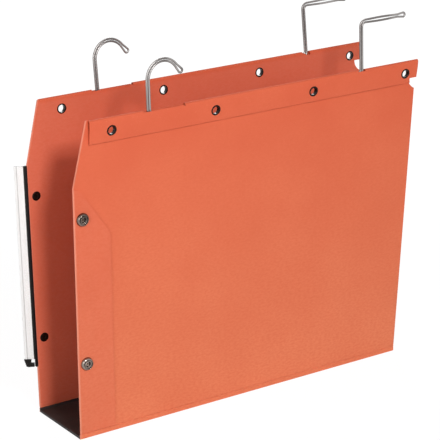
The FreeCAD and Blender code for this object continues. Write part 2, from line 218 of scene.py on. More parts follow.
foot_overlap = 1.0
ribs = 5
rib_profile = ((0.04, 0.3), (0.22, 0.0), (0.78, 0.0), (0.96, 0.3))  # share of the pitch, inset

# Radius of the softened edges
base_edge = 0.3
rail_edge = 0.18
wing_edge = 0.15
window_softness = 0.1
strip_edge = 0.03
arm_edge = 0.4

# Camera: lens and sensor in millimetres, place in metres, its sideways and upward directions
lens = 164.06
sensor_width = 36.0
camera_place = Vector((-1.01443902, -1.49192370, 0.78014665))
camera_right = Vector((0.82591132, -0.56375339, -0.00725309))
camera_up = Vector((0.18853707, 0.26404127, 0.94590485))

# Soft boxes: place and the point each one faces, its width, all in metres, and its power in watts.
# One high in front, a weak one for the base, one for the inside and one for what faces back.
lamps = {
    "key_box": ((-0.39, -1.65, 1.30), (0, 0, 0.14), 0.35, 22.0),
    "low_box": ((-0.24, -1.3, 0.05), (-0.15, 0, 0.03), 0.4, 0.8),
    "side_box": ((-1.45, -0.95, 0.70), (-0.15, 0, 0.15), 0.6, 6.5),
    "back_box": ((0.70, 1.65, 1.10), (0, 0, 0.16), 0.7, 16.0),
}
fill_light = 0.13
floor_half_width = 6.0
floor_glow = 1.06          # strength of the plain white mixed into the floor
glow_near = 0.9            # its share beside the folder
glow_start = 0.4           # metres from the middle where that share starts to grow
glow_end = 1.2             # metres from the middle where the floor is all plain white

# ---- worked out from the sizes above
fold_radius = hem_gap / 2
hem_y = -fold_radius
hem_middle = fold_radius + ply_middle
crown_z = panel_height - fold_radius - card
hem_low = panel_height - hem_height
knee_z = panel_height - hem_upright
hem_slope = math.atan2(hem_gap - hem_foot_gap, knee_z - hem_low)
bend_start = knee_z - ply_middle * math.tan(hem_slope / 2) + hem_bend * math.tan(hem_slope / 2)
hem_plumb = crown_z - bend_start
hem_seat_y = (-hem_foot_gap - card / math.cos(hem_slope)
              - (eyelet_z - hem_low) * math.tan(hem_slope))
run_z = crown_z + fold_radius - crown_clearance - wire / 2 - strand_pitch / 2
rear_crease_y = base_width - card / 2
flare_slope = top_flare / (panel_height - crease_height)

millimetre = Matrix.Scale(0.001, 4)
to_frame = (Matrix.Translation(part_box("base_tray")[0]) @ millimetre
            @ Matrix.Translation((0, -card, 0)))
lean = (Matrix.Translation((0, rear_crease_y, crease_height))
        @ Matrix.Rotation(math.radians(-rear_lean), 4, "X")
        @ Matrix.Translation((0, -rear_crease_y, -crease_height)))
mirror = Matrix.Translation((0, base_width, 0)) @ Matrix.Diagonal((1, -1, 1, 1))
sides = {"front": to_frame, "rear": to_frame @ lean @ mirror}
holder_place = to_frame @ lean

# From the wing's own directions to the folder's: outward along it, out of its face, up
turn_out = math.radians(label_angle)
slanted = Matrix(((-math.cos(turn_out), -math.sin(turn_out), 0, -rail_edge_gap - rail_web),
                  (math.sin(turn_out), -math.cos(turn_out), 0, base_width),
                  (0, 0, 1, 0), (0, 0, 0, 1)))


def far_edge(z):
    """X of a panel's far edge at height z."""
    return length + flare_slope * (z - crease_height)


def smooth_step(value, low, high):
    """0 below low, 1 above high, and a smooth rise between."""
    share = min(max((value - low) / (high - low), 0.0), 1.0)
    return share * share * (3 - 2 * share)


def between(start, end, steps):
    """Even steps from start to end, both ends among them."""
    return [start + (end - start) * step / steps for step in range(steps + 1)]


# ---- materials
def linear(colour):
    """A shader colour from an sRGB hex value."""
    channels = [int(colour[place:place + 2], 16) / 255 for place in (1, 3, 5)]
    bright = [c / 12.92 if c <= 0.04045 else ((c + 0.055) / 1.055) ** 2.4 for c in channels]
    return (*bright, 1.0)


def add(tree, kind, values=None, links=None, **settings):
    """Add a node: its own settings, its sockets' values and what is linked to its sockets."""
    made = tree.nodes.new(kind)
    for name, value in settings.items():
        setattr(made, name, value)
    for socket, value in (values or {}).items():
        made.inputs[socket].default_value = value
    for socket, source in (links or {}).items():
        tree.links.new(source, made.inputs[socket])
    return made


def new_material(name):
    """An empty material, its node tree and its position in metres as a texture coordinate."""
    material = bpy.data.materials.new(name)
    material.use_nodes = True
    tree = material.node_tree
    tree.nodes.clear()
    position = add(tree, "ShaderNodeTexCoord").outputs["Object"]
    return material, tree, position


def finish_material(tree, shader):
    """Link a shader to the material's surface."""
    add(tree, "ShaderNodeOutputMaterial", links={"Surface": shader.outputs[0]})


def speckle(tree, position, size, detail=3.0, stretch=(1, 1, 1)):
    """Noise whose features are about size millimetres across, stretched along an axis."""
    scaled = add(tree, "ShaderNodeMapping", {"Scale": stretch}, {"Vector": position})
    return add(tree, "ShaderNodeTexNoise",
               {"Scale": 1000 / (2 * size), "Detail": detail, "Roughness": 0.55},
               {"Vector": scaled.outputs[0]}).outputs["Fac"]


def blend(tree, amount, first, second):
    """Mix two colours, each a hex value or an output."""
    values = {}
    links = {"Factor": amount}
    for socket, colour in ((6, first), (7, second)):
        if isinstance(colour, str):
            values[socket] = linear(colour)
        else:
            links[socket] = colour
    return add(tree, "ShaderNodeMix", values, links, data_type="RGBA").outputs[2]


def ramp(tree, source, low, high, out_low=0.0, out_high=1.0):
    """Map a value from low..high to out_low..out_high, held at both ends."""
    return add(tree, "ShaderNodeMapRange",
               {"From Min": low, "From Max": high, "To Min": out_low, "To Max": out_high},
               {"Value": source}).outputs[0]


def dyed_pressboard():
    """Dyed kraft pressboard, calendered: a matt coral face with short fibres, soft clouds of
    stronger and weaker dye, a face painted paler towards its foot for light from below, a slightly
    pinker back, and a paler line along its open edge, part rubbed card, part painted highlight."""
    material, tree, position = new_material("coral_pressboard")
    clouds = ramp(tree, speckle(tree, position, size=30.0, detail=2.0), 0.35, 0.65)
    # painted light: each face's second colour is its foot, painted paler as if lit from the floor
    dye = blend(tree, clouds, card_dye(tree, position, "#DE6140", "#E97F58", "#DE6C50"),
                card_dye(tree, position, "#E26745", "#ED855D", "#E27155"))
    # real fibres are well under 0.1 mm wide; drawn 0.9 mm wide so that they show
    fibres = speckle(tree, position, size=0.9, stretch=(0.5, 1, 1))
    dye = blend(tree, ramp(tree, fibres, 0.38, 0.68, out_high=0.4), dye, "#DD6642")
    flecks = speckle(tree, position, size=0.7, detail=1.0)
    dye = blend(tree, ramp(tree, flecks, 0.66, 0.72, out_high=0.12), dye, "#F0987A")
    # painted highlight and rubbing: a paler line along the open end's folded and slanted edge
    dye = blend(tree, edge_wear_and_highlight(tree, position), dye, "#F2A48C")
    height = add(tree, "ShaderNodeBump", {"Strength": 0.3, "Distance": 0.00002},
                 {"Height": fibres})
    roughness = ramp(tree, fibres, 0.3, 0.7, 0.62, 0.74)
    shader = add(tree, "ShaderNodeBsdfPrincipled",
                 {"IOR": 1.5, "Specular IOR Level": 0.35},
                 {"Base Color": dye, "Roughness": roughness, "Normal": height.outputs[0]})
    finish_material(tree, shader)
    return material


def card_dye(tree, position, top, foot, back):
    """The card's colour: its face from top to foot, painted paler low down for light from below,
    and its back.
    """
    behind = add(tree, "ShaderNodeAttribute", attribute_name="back_face").outputs["Fac"]
    place = add(tree, "ShaderNodeSeparateXYZ", links={"Vector": position})
    # painted light: the face turns paler and lighter towards its foot, as if lit from the floor
    paler = ramp(tree, place.outputs["Z"], painted_bounce_low / 1000, painted_bounce_high / 1000, 1.0, 0.0)
    return blend(tree, behind, blend(tree, paler, top, foot), back)


def edge_wear_and_highlight(tree, position):
    """Share of the paler edge line, part rubbed card and part painted highlight of the fold and
    cut edge: most at the open end's folded and slanted edge, none 2 mm in.
    """
    place = add(tree, "ShaderNodeSeparateXYZ", links={"Vector": position})
    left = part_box("front_panel")[0].x
    height = ramp(tree, place.outputs["Z"], slant_start / 1000, panel_height / 1000,
                  left, left + slant_inset / 1000)
    inward = add(tree, "ShaderNodeMath", links={0: place.outputs["X"], 1: height},
                 operation="SUBTRACT").outputs[0]
    ragged = speckle(tree, position, size=1.2)
    # the paler line, part rubbed card and part painted highlight, frays unevenly
    worn = add(tree, "ShaderNodeMath", {1: -wear_highlight_ragged / 1000}, {0: ragged, 2: inward},
               operation="MULTIPLY_ADD")
    return ramp(tree, worn.outputs[0], wear_highlight_start / 1000, wear_highlight_end / 1000, wear_highlight_share, 0.0)


def moulded_plastic(name, colour, worn, roughness, grain):
    """Black polypropylene with a fine matt grain that greys where light rakes it, and soft clouds
    a shade paler from handling."""
    material, tree, position = new_material(name)
    clouds = speckle(tree, position, size=12.0, detail=2.0)
    shade = blend(tree, ramp(tree, clouds, 0.35, 0.65), colour, worn)
    # real grain is about 0.1 mm; drawn 0.4 to 0.5 mm so that it shows
    pits = speckle(tree, position, grain, detail=2.0)
    height = add(tree, "ShaderNodeBump", {"Strength": 0.5, "Distance": 0.00004}, {"Height": pits})
    gloss = ramp(tree, pits, 0.3, 0.7, roughness - 0.06, roughness + 0.06)
    shader = add(tree, "ShaderNodeBsdfPrincipled", {"IOR": 1.49, "Specular IOR Level": 0.25},
                 {"Base Color": shade, "Roughness": gloss, "Normal": height.outputs[0]})
    finish_material(tree, shader)
    return material


def plated_metal(name, colour, dull, roughness, stretch):
    """Smooth plated or bare steel: a soft metal shine, clouded a little where it is duller, with
    faint patches of more and less gloss."""
    material, tree, position = new_material(name)
    clouds = speckle(tree, position, size=8.0, detail=0.0, stretch=stretch)
    shade = blend(tree, ramp(tree, clouds, 0.4, 0.6), colour, dull)
    patches = speckle(tree, position, size=2.0, detail=1.0, stretch=stretch)
    gloss = ramp(tree, patches, 0.3, 0.7, roughness - 0.03, roughness + 0.03)
    shader = add(tree, "ShaderNodeBsdfPrincipled", {"Metallic": 1.0},
                 {"Base Color": shade, "Roughness": gloss})
    finish_material(tree, shader)
    return material


def black_lacquer():
    """Steel dipped in black lacquer: near black, with a tight small highlight on its roll."""
    material, tree, position = new_material("black_lacquer")
    thin = speckle(tree, position, size=1.0)
    shade = blend(tree, ramp(tree, thin, 0.4, 0.7), "#150B08", "#20120D")
    shader = add(tree, "ShaderNodeBsdfPrincipled",
                 {"Roughness": 0.25, "IOR": 1.5, "Specular IOR Level": 0.15},
                 {"Base Color": shade})
    finish_material(tree, shader)
    return material


def clear_film():
    """Clear rigid vinyl film, extruded: you see the paper through it and a soft sheen on it."""
    material, tree, position = new_material("clear_vinyl_film")
    haze = speckle(tree, position, size=8.0, detail=2.0)
    gloss = ramp(tree, haze, 0.3, 0.7, 0.06, 0.14)
    shader = add(tree, "ShaderNodeBsdfPrincipled",
                 {"Base Color": linear("#F3F5F4"), "Alpha": 0.03, "IOR": 1.53},
                 {"Roughness": gloss})
    finish_material(tree, shader)
    return material


def from_margin(tree, position):
    """Distance in metres from the label's printed line, measured across the label."""
    start = holder_place @ slanted @ Vector((0, 0, 0))
    outward = (holder_place @ slanted).to_3x3() @ Vector((1000, 0, 0))
    offset = add(tree, "ShaderNodeVectorMath", {1: start}, {0: position}, operation="SUBTRACT")
    along = add(tree, "ShaderNodeVectorMath", {1: outward}, {0: offset.outputs[0]},
                operation="DOT_PRODUCT").outputs["Value"]
    beyond = add(tree, "ShaderNodeMath", {1: margin_line / 1000}, {0: along},
                 operation="SUBTRACT").outputs[0]
    return add(tree, "ShaderNodeMath", links={0: beyond}, operation="ABSOLUTE").outputs[0]


def label_stock():
    """Uncoated white label paper with one thin grey printed margin line down its length."""
    material, tree, position = new_material("label_paper_stock")
    pulp = speckle(tree, position, size=0.8)
    shade = blend(tree, ramp(tree, pulp, 0.35, 0.7), "#FFFFFE", "#FAF9F7")
    line = ramp(tree, from_margin(tree, position), margin_core / 1000, margin_rim / 1000,
                margin_ink, 0.0)
    shade = blend(tree, line, shade, "#B4B0AE")
    shader = add(tree, "ShaderNodeBsdfPrincipled", {"Roughness": 0.85, "Specular IOR Level": 0.25},
                 {"Base Color": shade})
    finish_material(tree, shader)
    return material


# ---- making pieces
def add_piece(name, shape, place, body, slot, node, crisp=35.0, finish=None):
    """A shape in millimetres becomes a piece that rides on a body and stands for its node. Edges
    that bend by more than crisp degrees stay sharp."""
    bmesh.ops.transform(shape, matrix=place, verts=shape.verts)
    bmesh.ops.recalc_face_normals(shape, faces=shape.faces)
    mesh = bpy.data.meshes.new(name)
    shape.to_mesh(mesh)
    shape.free()
    mesh.shade_smooth()
    mesh.set_sharp_from_angle(angle=math.radians(crisp))
    mesh.materials.append(materials[finish or slot])
    piece = bpy.data.objects.new(name, mesh)
    bpy.context.scene.collection.objects.link(piece)
    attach(piece, body)
    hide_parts(node)
    return piece


def paint_node(node, slot):
    """Give a solid that stays as it is the finish of its slot."""
    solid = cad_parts[node]
    for place in solid.material_slots:
        place.material = materials[slot]


def unit(start, end):
    """Direction from one point to another in a plane."""
    gap = math.hypot(end[0] - start[0], end[1] - start[1])
    return ((end[0] - start[0]) / gap, (end[1] - start[1]) / gap)


def rounded_corner(before, corner, after, radius, fineness=8.0):
    """Points of the arc that rounds a corner, one for about every fineness degrees."""
    enter = unit(before, corner)
    leave = unit(corner, after)
    turn = math.atan2(enter[0] * leave[1] - enter[1] * leave[0],
                      enter[0] * leave[0] + enter[1] * leave[1])
    reach = radius * math.tan(abs(turn) / 2)
    start = (corner[0] - enter[0] * reach, corner[1] - enter[1] * reach)
    side = math.copysign(radius, turn)
    centre = (start[0] - enter[1] * side, start[1] + enter[0] * side)
    steps = max(int(abs(math.degrees(turn)) / fineness), 2)
    points = []
    for angle in between(0.0, turn, steps):
        x = start[0] - centre[0]
        z = start[1] - centre[1]
        points.append((centre[0] + x * math.cos(angle) - z * math.sin(angle),
                       centre[1] + x * math.sin(angle) + z * math.cos(angle)))
    return points


def softened(profile):
    """A closed profile of (radius, height, softness) with its corners rounded off."""
    points = []
    for index, (radius, height, softness) in enumerate(profile):
        if softness == 0:
            points.append((radius, height))
            continue
        corner = Vector((radius, height))
        before = Vector(profile[index - 1][:2])
        after = Vector(profile[(index + 1) % len(profile)][:2])
        start = corner.lerp(before, min(softness / (corner - before).length, corner_limit))
        end = corner.lerp(after, min(softness / (corner - after).length, corner_limit))
        for share in between(0.0, 1.0, 4):
            points.append(tuple(start.lerp(corner, share).lerp(corner.lerp(end, share), share)))
    return points


def turned(profile, x, seat_y, z):
    """Turn a profile about an axis along Y; its heights point out of the panel."""
    shape = bmesh.new()
    rings = []
    for step in range(turned_steps):
        angle = math.tau * step / turned_steps
        rings.append([shape.verts.new((x + radius * math.cos(angle), seat_y - height,
                                       z + radius * math.sin(angle)))
                      for radius, height in softened(profile)])
    for index, ring in enumerate(rings):
        following = rings[(index + 1) % turned_steps]
        for place in range(len(ring)):
            shape.faces.new((ring[place - 1], following[place - 1], following[place], ring[place]))
    bmesh.ops.remove_doubles(shape, verts=shape.verts, dist=0.001)
    bmesh.ops.dissolve_degenerate(shape, edges=shape.edges, dist=0.001)
    return shape


def prism(outline, low, high, softness, place=Matrix.Identity(4)):
    """A prism on an outline of (x, y), with its edges rounded off, put in place by a matrix."""
    shape = bmesh.new()
    face = shape.faces.new([shape.verts.new((x, y, low)) for x, y in outline])
    lifted = bmesh.ops.extrude_face_region(shape, geom=[face])["geom"]
    corners = [part for part in lifted if isinstance(part, bmesh.types.BMVert)]
    bmesh.ops.translate(shape, vec=(0, 0, high - low), verts=corners)
    bmesh.ops.bevel(shape, geom=shape.edges[:], offset=softness, segments=2, profile=0.5,
                    affect="EDGES", clamp_overlap=True)
    bmesh.ops.transform(shape, matrix=place, verts=shape.verts)
    return shape


def join(first, *others):
    """Add the others' faces to the first shape."""
    for other in others:
        mesh = bpy.data.meshes.new("joining")
        other.to_mesh(mesh)
        other.free()
        first.from_mesh(mesh)
        bpy.data.meshes.remove(mesh)
    return first


# ---- card sheets
def hem_fall(distance):
    """Y, Z and slope of the hem's outer ply at a distance below the fold over the wire."""
    slope = min(max((distance - hem_plumb) / hem_bend, 0.0), hem_slope)
    plumb = min(distance, hem_plumb)
    slide = distance - plumb - hem_bend * slope
    y = hem_y - hem_middle + hem_bend * (1 - math.cos(slope)) + slide * math.sin(slope)
    z = crown_z - plumb - hem_bend * math.sin(slope) - slide * math.cos(slope)
    return y, z, slope


def hem_strip(z):
    """Place up the flat sheet of a point of the hem that ends at height z once folded."""
    plumb = min(crown_z - z, hem_plumb)
    drop = crown_z - z - plumb
    slope = min(math.asin(min(drop / hem_bend, 1.0)), hem_slope)
    slide = (drop - hem_bend * math.sin(slope)) / math.cos(slope)
    return crown_z + math.pi * hem_middle + plumb + hem_bend * slope + slide


def flap_strip(x):
    """Place across the flat sheet of a point of the side flap that ends at x once folded."""
    return side_fold - math.pi * ply_middle - (x - side_fold)


def folded(u, s):
    """Where a point of the flat sheet ends once the hem and flap are folded, and its normal."""
    if s > crown_z and u > hem_start - cut_width / 2:
        turn = (s - crown_z) / hem_middle
        if turn > math.pi:
            y, z, slope = hem_fall((turn - math.pi) * hem_middle)
            return Vector((u, y, z)), Vector((0, -math.cos(slope), -math.sin(slope)))
        normal = Vector((0, math.cos(turn), math.sin(turn)))
        return Vector((u, hem_y, crown_z)) + normal * hem_middle, normal
    turn = (side_fold - u) / ply_middle
    if turn <= 0:
        return Vector((u, ply_middle, s)), Vector((0, 1, 0))
    if turn > math.pi:
        x = side_fold + (turn - math.pi) * ply_middle
        return Vector((x, -ply_middle, s)), Vector((0, -1, 0))
    normal = Vector((-math.sin(turn), math.cos(turn), 0))
    return Vector((side_fold, 0, s)) + normal * ply_middle, normal


def sheet_outline():
    """The flat sheet's outline, as it is cut before folding."""
    notch_z = panel_height - notch_drop
    notch_x = far_edge(notch_z) - notch_inset + notch_radius
    reach = (notch_radius - notch_inset) / math.hypot(notch_radius, flare_slope * notch_radius)
    deepest = math.acos(reach) - math.atan(flare_slope)
    outline = [(side_fold, flap_foot), (side_fold, sheet_foot), (far_edge(sheet_foot), sheet_foot)]
    for angle in between(deepest, 0.0, notch_steps):
        outline.append((notch_x - notch_radius * math.cos(angle),
                        notch_z - notch_radius * math.sin(angle)))
    outline.append((far_edge(notch_z), notch_z))
    for row in crown_rows() + bend_rows():
        outline.append((far_edge(folded(length, row)[0].z), row))
    outline.append((far_edge(notch_z), hem_strip(notch_z)))
    for angle in between(0.0, math.asin((notch_z - hem_low) / notch_radius), notch_hem_steps):
        outline.append((notch_x - notch_radius * math.cos(angle),
                        hem_strip(notch_z - notch_radius * math.sin(angle))))
    outline += [(hem_start, hem_strip(hem_low)), (hem_start, crown_z),
                (hem_start - cut_width, crown_z), (hem_start - cut_width, panel_height),
                (slant_inset, panel_height), (slant_end, slant_start)]
    return outline + flap_outline()


def flap_outline():
    """The side flap's edge on the flat sheet, from its top down."""
    flap = [(side_fold, flap_top), (flap_start, flap_top - card), (flap_width, flap_shoulder),
            (flap_width, flap_foot), (side_fold, flap_foot)]
    edge = [flap[0]]
    edge += rounded_corner(flap[0], flap[1], flap[2], flap_round)
    edge += rounded_corner(flap[1], flap[2], flap[3], flap_round)
    edge += flap[3:]
    return [(flap_strip(x), z) for x, z in edge]


def crown_rows():
    """Rows of the flat sheet that bend round the wire."""
    return between(crown_z, crown_z + math.pi * hem_middle, crown_steps)


def bend_rows():
    """Rows of the flat sheet where the hem turns in towards the panel."""
    start = crown_z + math.pi * hem_middle + hem_plumb
    return between(start, start + hem_bend * hem_slope, bend_steps)


def ring_of(u, s, radius):
    """Outline of a round hole in the flat sheet."""
    angles = [math.tau * step / hole_steps for step in range(hole_steps)]
    return [(u + radius * math.cos(angle), s + radius * math.sin(angle)) for angle in angles]


def sheet_holes():
    """Holes of the flat sheet: eyelets and studs in both plies, the slot and the gate."""
    holes = []
    for x in eyelet_xs:
        holes += [ring_of(x, eyelet_z, eyelet_hole), ring_of(x, hem_strip(eyelet_z), eyelet_hole)]
    for z in stud_heights.values():
        holes += [ring_of(stud_inset, z, stud_hole), ring_of(flap_strip(stud_inset), z, stud_hole)]
    cut = math.asin((panel_height - slot_depth - crown_z) / hem_middle)
    near = crown_z + cut * hem_middle
    far = crown_z + (math.pi - cut) * hem_middle
    left = round_stem - slot_margin
    right = left + slot_length
    tick = panel_height - slot_tick_depth
    holes.append([(left, near), (right, near), (right, far), (left, far)])
    holes.append([(right - slot_tick, tick), (right, tick), (right, hem_strip(tick)),
                  (right - slot_tick, hem_strip(tick))])
    left = square_stem - gate_left
    right = square_stem + gate_right
    holes.append([(left, near), (right, near), (right, far), (left, far)])
    slope = (right - gate_floor - left) / gate_depth
    deep = panel_height - gate_depth
    holes.append([(left + slope * slot_depth, near + gate_overlap), (right - gate_floor, deep),
                  (right, deep), (right, near + gate_overlap)])
    return holes


def inside(u, s, ring):
    """Whether a point lies within a closed ring."""
    within = False
    before = ring[-1]
    for corner in ring:
        if (corner[1] > s) != (before[1] > s):
            cross = corner[0] + (before[0] - corner[0]) * (s - corner[1]) / (before[1] - corner[1])
            if u < cross:
                within = not within
        before = corner
    return within


def fold_lines():
    """Lines of the flat sheet that its bends follow: hem, crease and side fold."""
    lines = [((hem_start, row), (far_edge(panel_height) + 2 * overshoot, row))
             for row in crown_rows() + bend_rows()]
    lines.append(((-overshoot, crease_height), (length + overshoot, crease_height)))
    lines += [((column, sheet_foot - overshoot), (column, slant_start))
              for column in between(side_fold, side_fold - math.pi * ply_middle, side_fold_steps)]
    return lines


def inner_points():
    """Points spread over the flat sheet, every other row shifted."""
    across = int((far_edge(panel_height) + flap_width) / grid) + 1
    up = int((panel_height + hem_height) / grid) + 1
    points = []
    for row in range(up):
        shift = grid_stagger * grid * (row % 2)
        points += [(column * grid - flap_width + shift, row * grid + grid_start)
                   for column in range(across)]
    return points


def cut_sheet():
    """Corners and triangles of the flat sheet, cut along its outline, holes and bends."""
    outline = sheet_outline()
    holes = sheet_holes()
    points = []
    edges = []
    for ring in [outline] + holes:
        first = len(points)
        points += ring
        edges += [(first + place, first + (place + 1) % len(ring)) for place in range(len(ring))]
    for line in fold_lines():
        edges.append((len(points), len(points) + 1))
        points += line
    flat = [Vector(point) for point in points + inner_points()]
    corners, _, triangles, *_ = delaunay_2d_cdt(flat, edges, [], 0, merge_gap)
    kept = []
    for triangle in triangles:
        u = sum(corners[corner][0] for corner in triangle) / 3
        s = sum(corners[corner][1] for corner in triangle) / 3
        if inside(u, s, outline) and not any(inside(u, s, hole) for hole in holes):
            kept.append(triangle)
    return corners, kept


def ripple(x, z, seed):
    """How far the card bows at a point: nothing near its folds, studs and hem."""
    calm = (smooth_step(x, *side_fade) * smooth_step(z, *foot_fade)
            * smooth_step(panel_height - hem_height - z, *hem_fade))
    return wave_height * calm * noise.noise(Vector((x / wave_length, z / wave_rise, seed)))


def skin_points(u, s, seed):
    """Where a point of the flat sheet ends on its two skins once folded, bowed and sprung."""
    point, normal = folded(u, s)
    shift = ripple(point.x, point.z, seed)
    if u < flap_strip(side_fold):
        shift -= flap_spring * smooth_step(point.x, flap_spring_start, flap_width)
    point.y += shift
    half = ply / 2
    if s < crease_height:
        half = math.sqrt((card / 2) ** 2 - (crease_height - s) ** 2)
    return point + normal * half, point - normal * half


def back_share(u, s):
    """How much of the sheet's back its inner skin shows: the hem is drawn like the face."""
    if s > crown_z:
        return 0.0
    return flap_tone if u < side_fold else 1.0


def rim_edges(triangles):
    """Edges that only one triangle has, in the direction they run in it."""
    rims = {}
    for triangle in triangles:
        for place in range(3):
            edge = (triangle[place - 1], triangle[place])
            if edge[::-1] in rims:
                del rims[edge[::-1]]
            else:
                rims[edge] = True
    return rims


def card_sheet(sheet, seed):
    """Fold the cut sheet and give it its thickness: two skins and a rim, rounded at the crease."""
    corners, triangles = sheet
    shape = bmesh.new()
    back = shape.verts.layers.float.new("back_face")
    skins = {}
    for corner in sorted({corner for triangle in triangles for corner in triangle}):
        u, s = corners[corner]
        skins[corner] = [shape.verts.new(point) for point in skin_points(u, s, seed)]
        skins[corner][0][back] = back_share(u, s)
    for triangle in triangles:
        shape.faces.new([skins[corner][0] for corner in triangle])
        shape.faces.new([skins[corner][1] for corner in reversed(triangle)])
    for start, end in rim_edges(triangles):
        shape.faces.new((skins[end][0], skins[start][0], skins[start][1], skins[end][1]))
    return shape


def add_card_panels():
    """Both panels from one flat sheet, the rear one mirrored and bowed in its own way."""
    sheet = cut_sheet()
    for index, (side, place) in enumerate(sides.items()):
        add_piece(f"{side}_card_panel", card_sheet(sheet, index * wave_step), place,
                  f"{side}_panel", "coral_card", f"{side}_panel")
        paint_node(f"{side}_panel_foot", "coral_card")


# ---- wire hangers
def shifted(route, shift):
    """A route of (x, z, bend radius) moved sideways, to the right of its direction."""
    moved = []
    for index, (x, z, radius) in enumerate(route):
        before = unit(route[max(index - 1, 0)], route[max(index, 1)])
        after = unit(route[min(index, len(route) - 2)], route[min(index + 1, len(route) - 1)])
        side = (before[1] + after[1], -before[0] - after[0])
        scale = shift / (1 + before[0] * after[0] + before[1] * after[1])
        turn = before[0] * after[1] - before[1] * after[0]
        moved.append((x + side[0] * scale, z + side[1] * scale,
                      radius + shift if turn > 0 else radius - shift))
    return moved


def eye(pinch, heading):
    """The two outer corners of the eye that closes a doubled wire, right one first."""
    along = eye_length - wire / 2
    corners = []
    for side in (eye_half, -eye_half):
        corners.append((pinch[0] + heading[0] * along + heading[1] * side,
                        pinch[1] + heading[1] * along - heading[0] * side, eye_bend))
    return corners


def hanger_corners():
    """Corners of the closed loop of wire: up both hooks, along the hem and back beside itself."""
    round_top = panel_height + round_rise
    round_x = round_stem + round_radius
    sweep = math.radians(round_sweep)
    heading = (math.sin(sweep), -math.cos(sweep))
    round_pinch = (round_x + round_radius * math.cos(sweep) + pinch_lead * heading[0],
                   round_top - round_radius * (1 - math.sin(sweep)) + pinch_lead * heading[1])
    arm_z = panel_height + square_rise
    square_pinch = (square_stem + square_reach, arm_z)
    route = [round_pinch + (pinch_radius,),
             (round_x + round_radius * math.tan((math.pi / 2 - sweep) / 2), round_top,
              round_radius),
             (round_stem, round_top, round_radius),
             (round_stem, run_z, foot_bend),
             (square_stem, run_z, foot_bend),
             (square_stem, arm_z, square_bend),
             square_pinch + (pinch_radius,)]
    half = strand_pitch / 2
    right = shifted(route, half)
    left = shifted(route, -half)
    bulge_x = square_stem + arm_bulge_place
    right.insert(-1, (bulge_x, arm_z - half - arm_bulge, arm_bulge_radius))
    left.insert(-1, (bulge_x, arm_z + half + arm_bulge, arm_bulge_radius))
    return right + eye(square_pinch, (1, 0)) + left[::-1] + eye(round_pinch, heading)


def wire_line():
    """Points of the wire's closed middle line, its corners rounded."""
    corners = hanger_corners()
    line = []
    for index, corner in enumerate(corners):
        following = corners[(index + 1) % len(corners)]
        line += rounded_corner(corners[index - 1], corner, following, corner[2], wire_fineness)
    line = [point for index, point in enumerate(line)
            if math.dist(point, line[index - 1]) > shortest_step]
    return line


def wire_loop(tilt):
    """The wire's round section carried along its closed, flat line, tilted in the hem."""
    line = wire_line()
    shape = bmesh.new()
    rings = []
    for index, (x, z) in enumerate(line):
        ahead = unit(line[index - 1], line[(index + 1) % len(line)])
        ring = []
        for step in range(wire_sides):
            angle = math.tau * step / wire_sides
            out = wire / 2 * math.cos(angle)
            ring.append(shape.verts.new((x + ahead[1] * out, hem_y + wire / 2 * math.sin(angle),
                                         z - ahead[0] * out)))
        rings.append(ring)
    for index, ring in enumerate(rings):
        following = rings[(index + 1) % len(rings)]
        for place in range(wire_sides):
            shape.faces.new((ring[place - 1], ring[place], following[place], following[place - 1]))
    turn = (Matrix.Translation((0, hem_y, run_z)) @ Matrix.Rotation(math.radians(tilt), 4, "X")
            @ Matrix.Translation((0, -hem_y, -run_z)))
    bmesh.ops.transform(shape, matrix=turn, verts=shape.verts)
    return shape


def add_hangers():
    """Both wire hangers, each tilted in its hem."""
    for side, tilt in (("front", front_hanger_tilt), ("rear", rear_hanger_tilt)):
        add_piece(f"{side}_wire_hanger", wire_loop(tilt), sides[side], f"{side}_hanger",
                  "steel_wire", f"{side}_hanger", crisp=60.0)


# ---- eyelets and press studs
def eyelet(x):
    """Eyelet through the hem: a curled rim inside, and a rolled flange flat on the sloping hem."""
    grip = card - hem_seat_y
    seat = grip - flange_sink
    profile = [(eyelet_bore, -eyelet_edge, 0.3), (eyelet_rim, -eyelet_edge, 0.35),
               (eyelet_rim, 0, 0.1), (eyelet_barrel, 0, 0.0), (eyelet_barrel, seat, 0.0),
               (eyelet_flange, seat, 0.1), (eyelet_flange, grip + eyelet_edge, 0.4),
               (eyelet_bore, grip + eyelet_edge, 0.35)]
    shape = turned(profile, x, card, eyelet_z)
    for corner in shape.verts:
        if corner.co.y < card - grip / 2:
            corner.co.y += (eyelet_z - corner.co.z) * math.tan(hem_slope)
    return shape


def fitting(profile, z):
    """A turned part of the press stud at height z, seated on the side flap."""
    return turned(profile, stud_inset, -card, z)


def add_hardware():
    """Eyelets and press studs. The rear rivets are lacquered black, the rest is gunmetal."""
    post_finish = {"front": "gunmetal", "rear": "black_eyelet"}
    for side, place in sides.items():
        body = f"{side}_panel"
        for index, x in enumerate(eyelet_xs, start=1):
            add_piece(f"{side}_eyelet_ring_{index}", eyelet(x), place, body,
                      "black_eyelet", f"{side}_eyelet_{index}")
        for level, z in stud_heights.items():
            add_piece(f"{side}_stud_rivet_{level}", fitting(post_profile, z), place, body,
                      "gunmetal", f"{side}_post_{level}", finish=post_finish[side])
    for level, z in stud_heights.items():
        add_piece(f"front_stud_cup_{level}", fitting(socket_profile, z), sides["front"],
                  "front_panel", "gunmetal", f"front_socket_{level}")
        paint_node(f"front_spring_{level}", "spring_steel")
        add_piece(f"rear_stud_knob_{level}", fitting(stud_profile, z), sides["rear"],
                  "rear_panel", "gunmetal", f"rear_stud_{level}")


